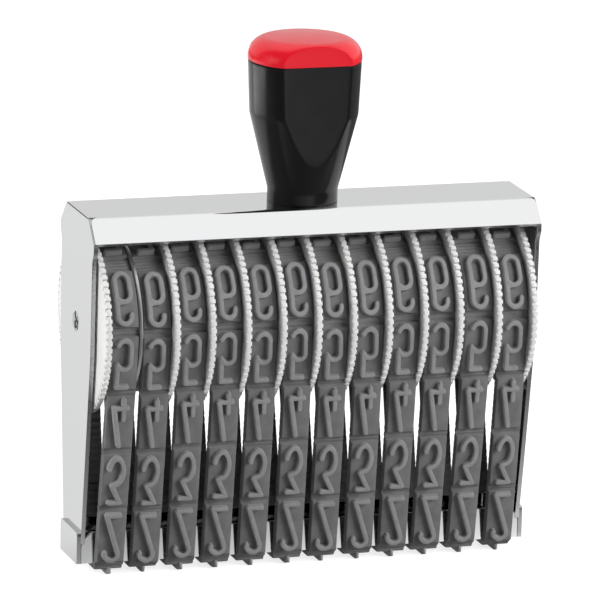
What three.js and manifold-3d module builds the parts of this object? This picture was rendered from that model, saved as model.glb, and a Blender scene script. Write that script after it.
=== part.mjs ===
import * as THREE from 'three';
import { mergeVertices } from 'three/addons/utils/BufferGeometryUtils.js';
import Module from 'manifold-3d';

const wasm = await Module();
wasm.setup();

// A hand-held numbering stamp: twelve rubber digit bands run over toothed thumb wheels on one axle,
// down to a bottom bridge that backs the printing digits, in a folded sheet frame with a handle.
// Millimetres, X along the axle, Y from front to rear, Z up, origin on the printing plane.

// Rubber digit bands
const bandCount = 12;
const bandWidth = 8.3;
const baseThickness = 0.95;
const padThickness = 0.9;
const digitRelief = 1.45;
const cellPitch = 17.4;
const grooveFoot = 1.5;
const grooveMouth = 2.3;
const nubLength = 14.8;
const nubWidth = 1.5;
const nubOffset = 0.85;
const bottomShift = 1.0;
const beltClearance = 0.3;
const runBow = 0.05;

// Number wheels and what shares their axle
const drumRadius = 20.15;
const discRadius = 25.4;
const discThickness = 1.5;
const toothCount = 77;
const toothDepth = 0.3;
const separatorRadius = 22.6;
const separatorThickness = 0.5;
const sideClearance = 0.22;
const boreClearance = 0.3;
const spacerRadius = 6;

// Axle
const axleHeight = 70.2;
const axleRadius = 2.2;
const headRadius = 2.75;
const headThickness = 0.75;
const plateHoleClearance = 0.15;
const seatGap = 0.05;

// Folded sheet frame
const sheet = 1.2;
const leftPlay = 0.65;
const rightSpace = 1.87;
const headroom = 1.6;
const topHalfDepth = 11.2;
const foldRadius = 2;
const shoulderHalfDepth = 16.8;
const shoulderDrop = 6.1;
const shoulderHeight = 2;
const waistHalfDepth = 15.45;
const waistDrop = 3.2;
const hipHalfDepth = 15.1;
const hipBelowAxle = 6.6;
const footHalfDepth = 8.8;
const footChamfer = 0.7;

// Bottom bridge
const bridgeSheet = 0.9;
const bridgeHalfDepth = 8.3;
const bridgeCorner = 1;
const wallHeight = 8.3;
const earHeight = 8;
const notchFloor = 5;
const notchClearance = 0.15;
const footGap = 0.1;

// Handle
const neckRadius = 9.75;
const neckHeight = 3.4;
const coneRadius = 14.9;
const coneTop = 24.5;
const bellyRadius = 15.3;
const bellyTop = 28;
const seamHeight = 39.4;
const facetDepth = 11.5;
const capRadius = 15.75;
const capLip = 0.1;
const capHeight = 6.8;
const capRounding = 5.2;
const capBrow = 0.9;
const capDome = 0.6;
const plugRadius = 6;
const plugDepth = 8;
const plugClearance = 0.3;
const screwRadius = 2;
const screwReach = 16;
const screwClearance = 0.3;
const screwHeadRadius = 4.2;
const screwHeadHeight = 2.2;
const washerRadius = 6;
const washerThickness = 0.8;

// How finely round stretches are cut into flats
const drumSides = 24;
const boreSides = 12;
const handleSides = 32;
const roundingSteps = 5;
const drumStep = Math.PI / 12;
const cornerStep = Math.PI / 4;
const foldSteps = 3;

// Any cut reaches this far past the faces it opens
const overrun = 1;
const weldDistance = 1e-5;

// Places that follow from the sizes above
const bandThickness = baseThickness + padThickness;
const bridgeBottom = digitRelief + bandThickness + beltClearance;
const beltRadius = drumRadius + beltClearance;
const boreRadius = axleRadius + boreClearance;
const wheelPitch = bandWidth + discThickness + 2 * sideClearance;
const firstBandSide = leftPlay + discThickness + sideClearance;
const separatorSide = firstBandSide + bandWidth + sideClearance;
const secondBandSide = separatorSide + separatorThickness + sideClearance;
const stackWidth = secondBandSide + (bandCount - 1) * wheelPitch - sideClearance + rightSpace;
const plateInner = stackWidth / 2;
const plateOuter = plateInner + sheet;
const earInner = plateOuter + seatGap;
const earOuter = earInner + bridgeSheet;
const footHeight = bridgeBottom + notchFloor + footGap;
const wheelFoot = axleHeight - discRadius;
const seamRadius = capRadius - capLip;
const screwStack = screwHeadHeight + washerThickness + 2 * seatGap;
const topHeight = axleHeight + discRadius + headroom + screwStack + sheet;

const chrome = { color: 0xc9cbce, roughness: 0.12, metalness: 1 };
const steel = { color: 0x9fa2a5, roughness: 0.35, metalness: 1 };
const whitePlastic = { color: 0xe6e6e2, roughness: 0.45, metalness: 0 };
const rubber = { color: 0x4b4d50, roughness: 0.7, metalness: 0 };
const blackPlastic = { color: 0x1d1e20, roughness: 0.35, metalness: 0 };
const redPlastic = { color: 0xdd1c2c, roughness: 0.3, metalness: 0 };

function pieceOf(name, geometry, look) {
  const mesh = new THREE.Mesh(geometry, new THREE.MeshStandardMaterial(look));
  mesh.name = name;
  return mesh;
}

function solidOf(geometry) {
  const plain = geometry.clone();
  plain.deleteAttribute('normal');
  plain.deleteAttribute('uv');
  const welded = mergeVertices(plain, weldDistance);
  return new wasm.Manifold(new wasm.Mesh({
    numProp: 3,
    vertProperties: new Float32Array(welded.attributes.position.array),
    triVerts: new Uint32Array(welded.index.array),
  }));
}

function geometryOf(solid) {
  const { vertProperties, triVerts } = solid.getMesh();
  const geometry = new THREE.BufferGeometry();
  geometry.setAttribute('position', new THREE.BufferAttribute(vertProperties, 3));
  geometry.setIndex(new THREE.BufferAttribute(triVerts, 1));
  geometry.computeVertexNormals();
  return geometry;
}

// Points of a circle round (0, height); the first one lies straight above the centre
function ring(radius, sides, height = 0) {
  return Array.from({ length: sides }, (_, index) => {
    const angle = Math.PI / 2 + (2 * Math.PI * index) / sides;
    return new THREE.Vector2(radius * Math.cos(angle), height + radius * Math.sin(angle));
  });
}

// A profile in the front-to-rear plane, stretched sideways from one X to another
function prism(outline, from, to, holes = []) {
  const clockwise = THREE.ShapeUtils.isClockWise(outline);
  const shape = new THREE.Shape(clockwise ? [...outline].reverse() : outline);
  shape.holes = holes.map((points) => new THREE.Path(points));
  const geometry = new THREE.ExtrudeGeometry(shape, { depth: to - from, bevelEnabled: false });
  return geometry.translate(0, 0, from);
}

// A half profile and its mirror image, joined over the top or, for a trough, under the bottom
function mirrorImage(half) {
  return half.map((point) => new THREE.Vector2(-point.x, point.y)).reverse();
}

function mirrored(half) {
  return [...half, ...mirrorImage(half)];
}

function slung(half) {
  return [...mirrorImage(half), ...half];
}

// Arc round a centre, from one angle to another, both ends included
function arc(centre, radius, from, to, steps) {
  return Array.from({ length: steps + 1 }, (_, index) => {
    const angle = from + ((to - from) * index) / steps;
    return new THREE.Vector2(
      centre.x + radius * Math.cos(angle),
      centre.y + radius * Math.sin(angle),
    );
  });
}

// Frame: a flat top with a sloped flange front and rear, and a side plate folded down at each end
const flangeRun = shoulderHalfDepth - topHalfDepth;
const flangeAngle = Math.atan2(shoulderDrop, flangeRun);
const flangeOut = new THREE.Vector2(Math.sin(flangeAngle), Math.cos(flangeAngle));
const foldCentre = new THREE.Vector2(
  topHalfDepth - foldRadius * Math.tan(flangeAngle / 2),
  topHeight - foldRadius,
);
const foldStart = Math.PI / 2 - flangeAngle;
const shoulderTop = topHeight - shoulderDrop;

function topSection() {
  const edge = new THREE.Vector2(shoulderHalfDepth, shoulderTop);
  const outer = [edge, ...arc(foldCentre, foldRadius, foldStart, Math.PI / 2, foldSteps)];
  const innerFold = arc(foldCentre, foldRadius - sheet, foldStart, Math.PI / 2, foldSteps);
  const inner = [edge.clone().addScaledVector(flangeOut, -sheet), ...innerFold];
  return [...mirrored(outer), ...mirrored(inner).reverse()];
}

function plateOutline() {
  const shoulderFoot = shoulderTop - shoulderHeight;
  const half = [
    new THREE.Vector2(footHalfDepth - footChamfer, footHeight),
    new THREE.Vector2(footHalfDepth, footHeight + footChamfer),
    new THREE.Vector2(hipHalfDepth, axleHeight - hipBelowAxle),
    new THREE.Vector2(waistHalfDepth, shoulderFoot - waistDrop),
    new THREE.Vector2(shoulderHalfDepth, shoulderFoot),
    new THREE.Vector2(shoulderHalfDepth, shoulderTop),
    ...arc(foldCentre, foldRadius, foldStart, Math.PI / 2, foldSteps),
  ];
  return mirrored(half);
}

function frameGeometry() {
  const top = solidOf(prism(topSection(), -plateOuter, plateOuter));
  const axleHole = ring(axleRadius + plateHoleClearance, boreSides, axleHeight);
  const left = solidOf(prism(plateOutline(), -plateOuter, -plateInner, [axleHole]));
  const right = solidOf(prism(plateOutline(), plateInner, plateOuter, [axleHole]));
  const screwHole = new THREE.CylinderGeometry(
    screwRadius + screwClearance,
    screwRadius + screwClearance,
    sheet + 2 * overrun,
    boreSides,
  );
  screwHole.translate(0, topHeight - sheet / 2, 0);
  return geometryOf(top.add(left).add(right).subtract(solidOf(screwHole)));
}

// Bridge: a trough under the frame with an ear outside each side plate and notches for their feet
function bridgeGeometry() {
  const innerCorner = bridgeCorner - bridgeSheet;
  const wallTop = bridgeBottom + wallHeight;
  const round = (halfDepth, radius, floor) => arc(
    new THREE.Vector2(halfDepth - radius, floor + radius),
    radius,
    -Math.PI / 2,
    0,
    foldSteps,
  );
  const outer = [
    ...round(bridgeHalfDepth, bridgeCorner, bridgeBottom),
    new THREE.Vector2(bridgeHalfDepth, wallTop),
  ];
  const inner = [
    ...round(bridgeHalfDepth - bridgeSheet, innerCorner, bridgeBottom + bridgeSheet),
    new THREE.Vector2(bridgeHalfDepth - bridgeSheet, wallTop),
  ];
  const trough = [...slung(outer), ...slung(inner).reverse()];
  let bridge = solidOf(prism(trough, -earOuter, earOuter));
  const ear = [
    ...round(bridgeHalfDepth, bridgeCorner, bridgeBottom),
    new THREE.Vector2(bridgeHalfDepth, bridgeBottom + earHeight),
  ];
  const notchInner = plateInner - notchClearance;
  const notch = new THREE.BoxGeometry(
    2 * (bridgeHalfDepth + overrun),
    wallHeight - notchFloor + overrun,
    earInner - notchInner,
  );
  const notchMiddle = bridgeBottom + notchFloor + (wallHeight - notchFloor + overrun) / 2;
  for (const side of [-1, 1]) {
    const ends = [side * earInner, side * earOuter].sort((a, b) => a - b);
    bridge = bridge.add(solidOf(prism(mirrored(ear), ...ends)));
    const slot = notch.clone().translate(0, notchMiddle, (side * (notchInner + earInner)) / 2);
    bridge = bridge.subtract(solidOf(slot));
  }
  return geometryOf(bridge);
}

// Axle: one rod whose riveted ends hold the two side plates
function axleGeometry() {
  const headFace = plateOuter + seatGap;
  const headEnd = headFace + headThickness;
  const half = [
    new THREE.Vector2(0, headEnd),
    new THREE.Vector2(headRadius, headEnd),
    new THREE.Vector2(headRadius, headFace),
    new THREE.Vector2(axleRadius, headFace),
  ];
  const left = half.map((point) => new THREE.Vector2(point.x, -point.y));
  const rod = new THREE.LatheGeometry([...left, ...half.reverse()], boreSides);
  return rod.rotateX(Math.PI / 2);
}

// Number wheel: a plain drum that carries the band and one toothed disc that a thumb turns
function wheelGeometry() {
  const teeth = Array.from({ length: 2 * toothCount }, (_, index) => {
    const radius = discRadius - (index % 2) * toothDepth;
    const angle = Math.PI / 2 + (Math.PI * index) / toothCount;
    return new THREE.Vector2(radius * Math.cos(angle), radius * Math.sin(angle));
  });
  const drumWidth = bandWidth + sideClearance;
  const disc = solidOf(prism(teeth, drumWidth, drumWidth + discThickness));
  const drum = solidOf(prism(ring(drumRadius, drumSides), 0, drumWidth + discThickness / 2));
  const bore = solidOf(prism(
    ring(boreRadius, boreSides),
    -overrun,
    drumWidth + discThickness + overrun,
  ));
  return geometryOf(disc.add(drum).subtract(bore));
}

function ringGeometry(outerRadius, innerRadius, thickness, sides) {
  return prism(ring(outerRadius, sides), 0, thickness, [ring(innerRadius, boreSides)]);
}

// Band loop: bottom flat, front corner, front run, wheel arc, rear run and rear corner, measured
// along the middle of the band's base from the middle of the bottom towards the front
const cornerCentre = new THREE.Vector2(
  -(bridgeHalfDepth - bridgeCorner),
  bridgeBottom + bridgeCorner,
);
const cornerBelt = bridgeCorner + beltClearance;
const reach = new THREE.Vector2(0, axleHeight).sub(cornerCentre);
const runTilt = Math.atan2(reach.y, reach.x)
  - Math.acos((beltRadius - cornerBelt) / reach.length());
const runOut = new THREE.Vector2(-Math.cos(runTilt), -Math.sin(runTilt));
const middle = baseThickness / 2;
const cornerTurn = Math.PI / 2 - runTilt;
const runLength = reach.dot(new THREE.Vector2(-Math.sin(runTilt), Math.cos(runTilt)));
const flatEnd = -cornerCentre.x;
const cornerEnd = flatEnd + cornerTurn * (cornerBelt + middle);
const runEnd = cornerEnd + runLength;
const topMiddle = runEnd + (Math.PI / 2 + runTilt) * (beltRadius + middle);
const runFoot = cornerCentre.y + cornerBelt * runOut.y;
const underWheels = cornerEnd + (wheelFoot - runFoot) / Math.cos(runTilt);

// The point at a distance along the front half of the loop, a height above the band's inner face
function frontPoint(along, height) {
  if (along <= flatEnd) {
    return new THREE.Vector2(-along, bridgeBottom - beltClearance - height);
  }
  if (along <= cornerEnd) {
    const turn = (along - flatEnd) / (cornerBelt + middle);
    const out = new THREE.Vector2(-Math.sin(turn), -Math.cos(turn));
    return cornerCentre.clone().addScaledVector(out, cornerBelt + height);
  }
  if (along <= runEnd) {
    const up = new THREE.Vector2(-Math.sin(runTilt), Math.cos(runTilt));
    const foot = cornerCentre.clone().addScaledVector(runOut, cornerBelt + height);
    return foot.addScaledVector(up, along - cornerEnd);
  }
  const angle = Math.PI + runTilt - (along - runEnd) / (beltRadius + middle);
  const radius = beltRadius + height;
  return new THREE.Vector2(radius * Math.cos(angle), axleHeight + radius * Math.sin(angle));
}

// Rear distances are negative, and one past the top comes down the other side
function loopPoint(along, height) {
  const within = along > topMiddle ? along - 2 * topMiddle : along;
  const point = frontPoint(Math.abs(within), height);
  return within >= 0 ? point : new THREE.Vector2(-point.x, point.y);
}

// Distances along the front half at which its round stretches are cut into flats
function frontBends() {
  const cornerSteps = Math.ceil(cornerTurn / cornerStep);
  const drumSteps = Math.ceil((Math.PI / 2 + runTilt) / drumStep);
  const bends = [];
  for (let step = 0; step <= cornerSteps; step += 1) {
    bends.push(flatEnd + ((cornerEnd - flatEnd) * step) / cornerSteps);
  }
  for (let step = 0; step <= drumSteps; step += 1) {
    bends.push(runEnd + ((topMiddle - runEnd) * step) / drumSteps);
  }
  return bends;
}

function outlineOf(stations) {
  return stations
    .sort((a, b) => a.along - b.along)
    .map(({ along, height }) => loopPoint(along, height));
}

// As many padded cells as the loop holds, one of them in the middle of the bottom, with a groove
// between neighbours; a plain stretch closes the loop at the rear
const cellCount = Math.floor((2 * topMiddle) / cellPitch);
const cellsUpFront = Math.floor(cellCount / 2);
const cellsUpRear = cellCount - 1 - cellsUpFront;
const firstGroove = -cellPitch / 2 - cellsUpRear * cellPitch;
const lastGroove = cellPitch / 2 + cellsUpFront * cellPitch;

function bandLoop() {
  const front = frontBends();
  const bends = [...front.slice(0, -1).map((along) => -along), ...front];
  const inner = bends.map((along) => ({ along, height: 0 }));
  for (const along of [-underWheels, underWheels]) {
    inner.push({ along, height: -runBow });
  }
  const turns = bends.map((along) => (along < firstGroove ? along + 2 * topMiddle : along));
  const outer = [];
  for (let cell = 0; cell < cellCount; cell += 1) {
    const groove = firstGroove + cell * cellPitch;
    const next = groove + cellPitch;
    outer.push({ along: groove + grooveFoot / 2, height: baseThickness });
    outer.push({ along: groove + grooveMouth / 2, height: bandThickness });
    outer.push(...turns
      .filter((along) => along > groove + grooveMouth / 2 && along < next - grooveMouth / 2)
      .map((along) => ({ along, height: bandThickness })));
    outer.push({ along: next - grooveMouth / 2, height: bandThickness });
    outer.push({ along: next - grooveFoot / 2, height: baseThickness });
  }
  outer.push(...turns
    .filter((along) => along > lastGroove)
    .map((along) => ({ along, height: baseThickness })));
  return prism(outlineOf(outer), -bandWidth / 2, bandWidth / 2, [outlineOf(inner)]);
}

// Below the wheels the bands run a little to one side, to an even pitch on the bridge
function bandGeometry(shift) {
  const nub = new THREE.BoxGeometry(nubLength, digitRelief + padThickness / 2, nubWidth);
  nub.translate(0, (digitRelief + padThickness / 2) / 2, nubOffset);
  const band = geometryOf(solidOf(bandLoop()).add(solidOf(nub)));
  const place = band.attributes.position;
  for (let index = 0; index < place.count; index += 1) {
    const below = Math.max(0, wheelFoot - place.getY(index)) / wheelFoot;
    place.setZ(index, place.getZ(index) + shift * below);
  }
  return band;
}

// Handle parts stand on the top plate, their own axis upwards
function turned(profile) {
  const points = profile.map(([radius, height]) => new THREE.Vector2(radius, height));
  return new THREE.LatheGeometry(points, handleSides).rotateX(Math.PI / 2);
}

function facetCut() {
  const tall = seamHeight + capHeight + 2 * overrun;
  const deep = capRadius;
  const block = new THREE.BoxGeometry(2 * (capRadius + overrun), deep, tall);
  block.translate(0, -facetDepth - deep / 2, tall / 2 - overrun);
  return solidOf(block);
}

function socket(radius, from, to) {
  const hole = new THREE.CylinderGeometry(radius, radius, to - from, boreSides);
  return solidOf(hole.rotateX(Math.PI / 2).translate(0, 0, (from + to) / 2));
}

function gripGeometry() {
  const body = solidOf(turned([
    [0, 0],
    [neckRadius, 0],
    [neckRadius, neckHeight],
    [coneRadius, coneTop],
    [bellyRadius, bellyTop],
    [seamRadius, seamHeight],
    [0, seamHeight],
  ]));
  const plugSocket = socket(
    plugRadius + plugClearance,
    seamHeight - plugDepth - plugClearance,
    seamHeight + overrun,
  );
  const screwSocket = socket(
    screwRadius + screwClearance,
    -overrun,
    screwReach + screwClearance,
  );
  return geometryOf(body.subtract(facetCut()).subtract(plugSocket).subtract(screwSocket));
}

function capGeometry() {
  const base = seamHeight + seatGap;
  const top = base + capHeight;
  const brow = top - capDome;
  const rounding = [];
  for (let step = 0; step <= roundingSteps; step += 1) {
    const angle = (Math.PI / 2) * (step / roundingSteps);
    rounding.push([
      capRadius - capRounding * (1 - Math.cos(angle)),
      base + capBrow + (brow - base - capBrow) * Math.sin(angle),
    ]);
  }
  const body = solidOf(turned([
    [0, base - plugDepth],
    [plugRadius, base - plugDepth],
    [plugRadius, base],
    [capRadius, base],
    ...rounding,
    [0, top],
  ]));
  return geometryOf(body.subtract(facetCut()));
}

function screwGeometry() {
  const seat = screwHeadHeight - screwStack - sheet;
  const rod = new THREE.LatheGeometry([
    new THREE.Vector2(0, seat - screwHeadHeight),
    new THREE.Vector2(screwHeadRadius, seat - screwHeadHeight),
    new THREE.Vector2(screwHeadRadius, seat),
    new THREE.Vector2(screwRadius, seat),
    new THREE.Vector2(screwRadius, screwReach),
    new THREE.Vector2(0, screwReach),
  ], boreSides);
  return rod.rotateX(Math.PI / 2);
}

const stamp = new THREE.Group();

// Inside this group X is front to rear, Y is up and Z runs along the axle
const alongAxle = new THREE.Group();
alongAxle.quaternion.setFromRotationMatrix(new THREE.Matrix4().makeBasis(
  new THREE.Vector3(0, 1, 0),
  new THREE.Vector3(0, 0, 1),
  new THREE.Vector3(1, 0, 0),
));
stamp.add(alongAxle);

alongAxle.add(pieceOf('frame', frameGeometry(), chrome));
alongAxle.add(pieceOf('bottom_bridge', bridgeGeometry(), chrome));

// What turns on the axle, and the rod itself, lie in a group at the axle's height
const onAxle = new THREE.Group();
onAxle.position.y = axleHeight;
alongAxle.add(onAxle);
onAxle.add(pieceOf('axle', axleGeometry(), steel));

function numbered(stem, index) {
  return `${stem}_${String(index + 1).padStart(2, '0')}`;
}

for (let index = 0; index < bandCount; index += 1) {
  const first = index === 0;
  const side = first ? firstBandSide : secondBandSide + (index - 1) * wheelPitch;
  const bandSide = side - plateInner;
  const wheel = pieceOf(numbered('number_wheel', index), wheelGeometry(), whitePlastic);
  wheel.position.z = first ? bandSide + bandWidth : bandSide;
  wheel.rotation.y = first ? Math.PI : 0;
  onAxle.add(wheel);
  const shift = first ? 0 : bottomShift;
  const band = pieceOf(numbered('digit_band', index), bandGeometry(shift), rubber);
  band.position.z = bandSide + bandWidth / 2;
  alongAxle.add(band);
}

const separator = pieceOf(
  'separator_disc',
  ringGeometry(separatorRadius, boreRadius, separatorThickness, drumSides),
  steel,
);
separator.position.z = separatorSide - plateInner;
onAxle.add(separator);

const spacerThickness = rightSpace - 2 * boreClearance;
const spacer = pieceOf(
  'end_spacer',
  ringGeometry(spacerRadius, boreRadius, spacerThickness, drumSides),
  steel,
);
spacer.position.z = plateInner - boreClearance - spacerThickness;
onAxle.add(spacer);

const handle = new THREE.Group();
handle.position.z = topHeight;
stamp.add(handle);

const grip = pieceOf('handle_grip', gripGeometry(), blackPlastic);
grip.position.z = seatGap;
handle.add(grip);
const cap = pieceOf('handle_cap', capGeometry(), redPlastic);
cap.position.z = seatGap;
handle.add(cap);
handle.add(pieceOf('handle_screw', screwGeometry(), steel));

const washer = pieceOf(
  'screw_washer',
  ringGeometry(washerRadius, screwRadius + screwClearance, washerThickness, drumSides),
  steel,
);
washer.position.z = -sheet - seatGap - washerThickness;
handle.add(washer);

export default stamp;
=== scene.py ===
import math

import bmesh
import bpy
import numpy as np
from mathutils import Matrix, Vector


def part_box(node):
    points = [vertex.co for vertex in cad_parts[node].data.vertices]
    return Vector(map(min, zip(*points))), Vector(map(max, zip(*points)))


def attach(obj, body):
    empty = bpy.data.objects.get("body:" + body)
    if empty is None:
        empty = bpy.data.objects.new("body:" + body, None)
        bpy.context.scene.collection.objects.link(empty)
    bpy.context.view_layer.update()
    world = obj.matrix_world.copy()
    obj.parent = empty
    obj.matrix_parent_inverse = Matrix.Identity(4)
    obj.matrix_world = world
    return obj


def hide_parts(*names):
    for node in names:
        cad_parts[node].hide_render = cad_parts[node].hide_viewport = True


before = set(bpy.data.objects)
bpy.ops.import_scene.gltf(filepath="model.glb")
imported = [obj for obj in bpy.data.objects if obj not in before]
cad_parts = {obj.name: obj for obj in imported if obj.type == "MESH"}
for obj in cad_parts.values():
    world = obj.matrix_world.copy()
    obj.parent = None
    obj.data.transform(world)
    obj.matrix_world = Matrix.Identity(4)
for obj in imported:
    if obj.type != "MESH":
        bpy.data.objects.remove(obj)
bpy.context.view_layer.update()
print("frame loaded")

# Everything below is in millimetres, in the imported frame: X along the axle, Y to the rear, Z up
mm = 0.001


# Low and high corner of a node's box
def nodeBox(node):
    low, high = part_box(node)
    return np.array(low) / mm, np.array(high) / mm


frameLow, frameHigh = nodeBox("frame")
bridgeLow, bridgeHigh = nodeBox("bottom_bridge")
discLow, discHigh = nodeBox("number_wheel_01")
gripLow, gripHigh = nodeBox("handle_grip")
capHigh = nodeBox("handle_cap")[1]
axleHigh = nodeBox("axle")[1]
axleHeight = (discLow[2] + discHigh[2]) / 2
discRadius = (discHigh[1] - discLow[1]) / 2
topHeight = frameHigh[2]
bandCount = sum(name.startswith("digit_band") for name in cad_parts)

# Camera: a long lens, a little left of the front and a little above
viewpoint = {
    "focalPixels": 6857.2,
    "imagePixels": 600,
    "sensorWidth": 36,
    "clip": (0.05, 50),
    "yaw": -17.854,
    "pitch": 13.613,
    "roll": 1.433,
    "aim": (-0.39, 0.0, 72.96),
    "distance": 1894.8,
    "centre": (299.05, 299.95),
}


# The camera stands back from its aim along (sin yaw cos pitch, -cos yaw cos pitch, sin pitch),
# is rolled about that line, and is shifted so that its axis meets the photo's own centre
def placeCamera(look):
    yaw, pitch, roll = (math.radians(look[key]) for key in ("yaw", "pitch", "roll"))
    back = Vector((
        math.sin(yaw) * math.cos(pitch),
        -math.cos(yaw) * math.cos(pitch),
        math.sin(pitch),
    ))
    right = Vector((math.cos(yaw), math.sin(yaw), 0))
    up = back.cross(right)
    turnedRight = math.cos(roll) * right + math.sin(roll) * up
    turnedUp = math.cos(roll) * up - math.sin(roll) * right
    pixels, centre = look["imagePixels"], look["centre"]
    lens = bpy.data.cameras.new("photoCamera")
    lens.sensor_width = look["sensorWidth"]
    lens.lens = look["sensorWidth"] * look["focalPixels"] / pixels
    lens.shift_x = (pixels / 2 - centre[0]) / pixels
    lens.shift_y = (centre[1] - pixels / 2) / pixels
    lens.clip_start, lens.clip_end = look["clip"]
    camera = bpy.data.objects.new("photoCamera", lens)
    place = (Vector(look["aim"]) + back * look["distance"]) * mm
    turn = Matrix((turnedRight, turnedUp, back)).transposed().to_4x4()
    camera.matrix_world = Matrix.Translation(place) @ turn
    bpy.context.collection.objects.link(camera)
    bpy.context.scene.camera = camera


placeCamera(viewpoint)
print("camera placed")


# Node trees: a setting is an input's value where the node has one of that name
def addNode(tree, kind, **settings):
    node = tree.nodes.new("ShaderNode" + kind)
    for key, value in settings.items():
        if key in node.inputs:
            node.inputs[key].default_value = value
        else:
            setattr(node, key, value)
    return node


# Links sources to a node's inputs, and hands on one of its outputs
def wire(tree, node, sources, output=0):
    for key, source in sources.items():
        tree.links.new(source, node.inputs[key])
    return node.outputs[output]


# Two grey levels multiplied, or the larger of the two
def combine(tree, operation, first, second):
    return wire(tree, addNode(tree, "VectorMath", operation=operation), {0: first, 1: second})


# Straight map of a value from one range to another, held at both ends
def spread(tree, value, low, high, toLow=0.0, toHigh=1.0):
    ends = {"From Min": low, "From Max": high, "To Min": toLow, "To Max": toHigh}
    return wire(tree, addNode(tree, "MapRange", **ends), {"Value": value})


# Colours blended in turn along a factor: stops are (factor, colour)
def ramp(tree, factor, stops):
    node = addNode(tree, "ValToRGB")
    marks = node.color_ramp.elements
    while len(marks) < len(stops):
        marks.new(0.5)
    for mark, (place, colour) in zip(marks, stops):
        mark.position = place
        mark.color = (*colour, 1)
    return wire(tree, node, {"Fac": factor})


# Clouds of a size in millimetres in Object coordinates, drawn out along an axis scaled down
def noise(tree, size, detail, stretch=(1, 1, 1)):
    place = addNode(tree, "TexCoord").outputs["Object"]
    mapped = wire(tree, addNode(tree, "Mapping", Scale=stretch), {"Vector": place})
    texture = addNode(tree, "TexNoise", Scale=1 / (size * mm), Detail=detail)
    return wire(tree, texture, {"Vector": mapped}, "Fac")


# A plain material, and its shader to wire further
def newMaterial(name, colour, roughness, metallic=0.0, specular=0.5):
    material = bpy.data.materials.new(name)
    material.use_nodes = True
    shader = material.node_tree.nodes["Principled BSDF"]
    shader.inputs["Base Color"].default_value = (*colour, 1)
    shader.inputs["Roughness"].default_value = roughness
    shader.inputs["Metallic"].default_value = metallic
    shader.inputs["Specular IOR Level"].default_value = specular
    return material, shader


# Part of the noise's range that its clouds fill
cloudRange = (0.3, 0.7)


# A finish: clouds (size, detail) vary it between its two tones or its two roughnesses, and a fine
# grain (size, detail, stretch) stands up by a depth in millimetres
def makeFinish(
    name, tones, roughness, clouds, grain, depth, strength=0.3, metallic=0.0, specular=0.5
):
    material, shader = newMaterial(name, tones[0], roughness[0], metallic, specular)
    tree = material.node_tree
    factor = noise(tree, *clouds)
    if len(tones) > 1:
        wire(tree, shader, {"Base Color": ramp(tree, factor, list(zip(cloudRange, tones)))})
    if len(roughness) > 1:
        wire(tree, shader, {"Roughness": spread(tree, factor, *cloudRange, *roughness)})
    bump = addNode(tree, "Bump", Strength=strength, Distance=depth * mm)
    wire(tree, shader, {"Normal": wire(tree, bump, {"Height": noise(tree, *grain)})})
    return material


finishes = {
    "plate": makeFinish(
        "polishedPlate", [(0.86, 0.865, 0.87)], (0.03, 0.065), clouds=(9, 4),
        grain=(0.9, 2, (0.05, 1, 1)), depth=0.0006, strength=0.25, metallic=1.0,
    ),
    # the sheared edges of the sheet, scored across it
    "edge": makeFinish(
        "cutEdge", [(0.55, 0.55, 0.56)], (0.24, 0.38), clouds=(0.8, 3),
        grain=(0.3, 2, (0.2, 1, 1)), depth=0.008, metallic=1.0,
    ),
    # painted shade along the end folds, and painted shade on the floors of the marks on the axle
    "fold": makeFinish(
        "paintedShadeLine", [(0.03, 0.03, 0.031)], (0.4, 0.6), clouds=(0.7, 3), grain=(0.3, 2),
        depth=0.01, strength=0.4, specular=0.05,
    ),
    "satin": makeFinish(
        "satinSteel", [(0.84, 0.84, 0.85)], (0.38, 0.48), clouds=(1.5, 3), grain=(0.3, 2),
        depth=0.004, metallic=1.0,
    ),
    "steel": makeFinish(
        "turnedSteel", [(0.62, 0.63, 0.64)], (0.18, 0.32), clouds=(2, 3), grain=(0.4, 2),
        depth=0.004, metallic=1.0,
    ),
    "rubber": makeFinish(
        "bandRubber", [(0.13, 0.131, 0.134), (0.17, 0.17, 0.173)], (0.7,), clouds=(3.5, 5),
        grain=(0.35, 3), depth=0.02, strength=0.35, specular=0.25,
    ),
    "digit": makeFinish(
        "digitRubber", [(0.215, 0.216, 0.22), (0.258, 0.258, 0.261)], (0.65,), clouds=(2.5, 5),
        grain=(0.3, 3), depth=0.015, specular=0.3,
    ),
    "white": makeFinish(
        "wheelPlastic", [(0.68, 0.68, 0.67), (0.72, 0.72, 0.71)], (0.42,), clouds=(6, 3),
        grain=(0.6, 2), depth=0.006,
    ),
    "black": makeFinish(
        "gripPlastic", [(0.007, 0.007, 0.0075)], (0.2, 0.25), clouds=(5, 4), grain=(0.4, 2),
        depth=0.002,
    ),
    "red": makeFinish(
        "capPlastic", [(0.69, 0.006, 0.018)], (0.18, 0.26), clouds=(6, 3), grain=(0.5, 2),
        depth=0.002, specular=0.6,
    ),
}
print("materials made")


# Meshes: a grid of points (rows, columns, 3) becomes quads, closed round either way if asked
def gridFaces(rows, columns, closeRows=False, closeColumns=False, start=0):
    row = np.arange(rows if closeRows else rows - 1)
    column = np.arange(columns if closeColumns else columns - 1)
    row, column = (part.ravel() for part in np.meshgrid(row, column, indexing="ij"))
    nextRow, nextColumn = (row + 1) % rows, (column + 1) % columns
    corners = [(row, column), (nextRow, column), (nextRow, nextColumn), (row, nextColumn)]
    return start + np.stack([r * columns + c for r, c in corners], axis=1)


# Points from coordinates that are spread over rows and columns
def pointGrid(x, y, z):
    return np.stack(np.broadcast_arrays(x, y, z), 2)


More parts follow.
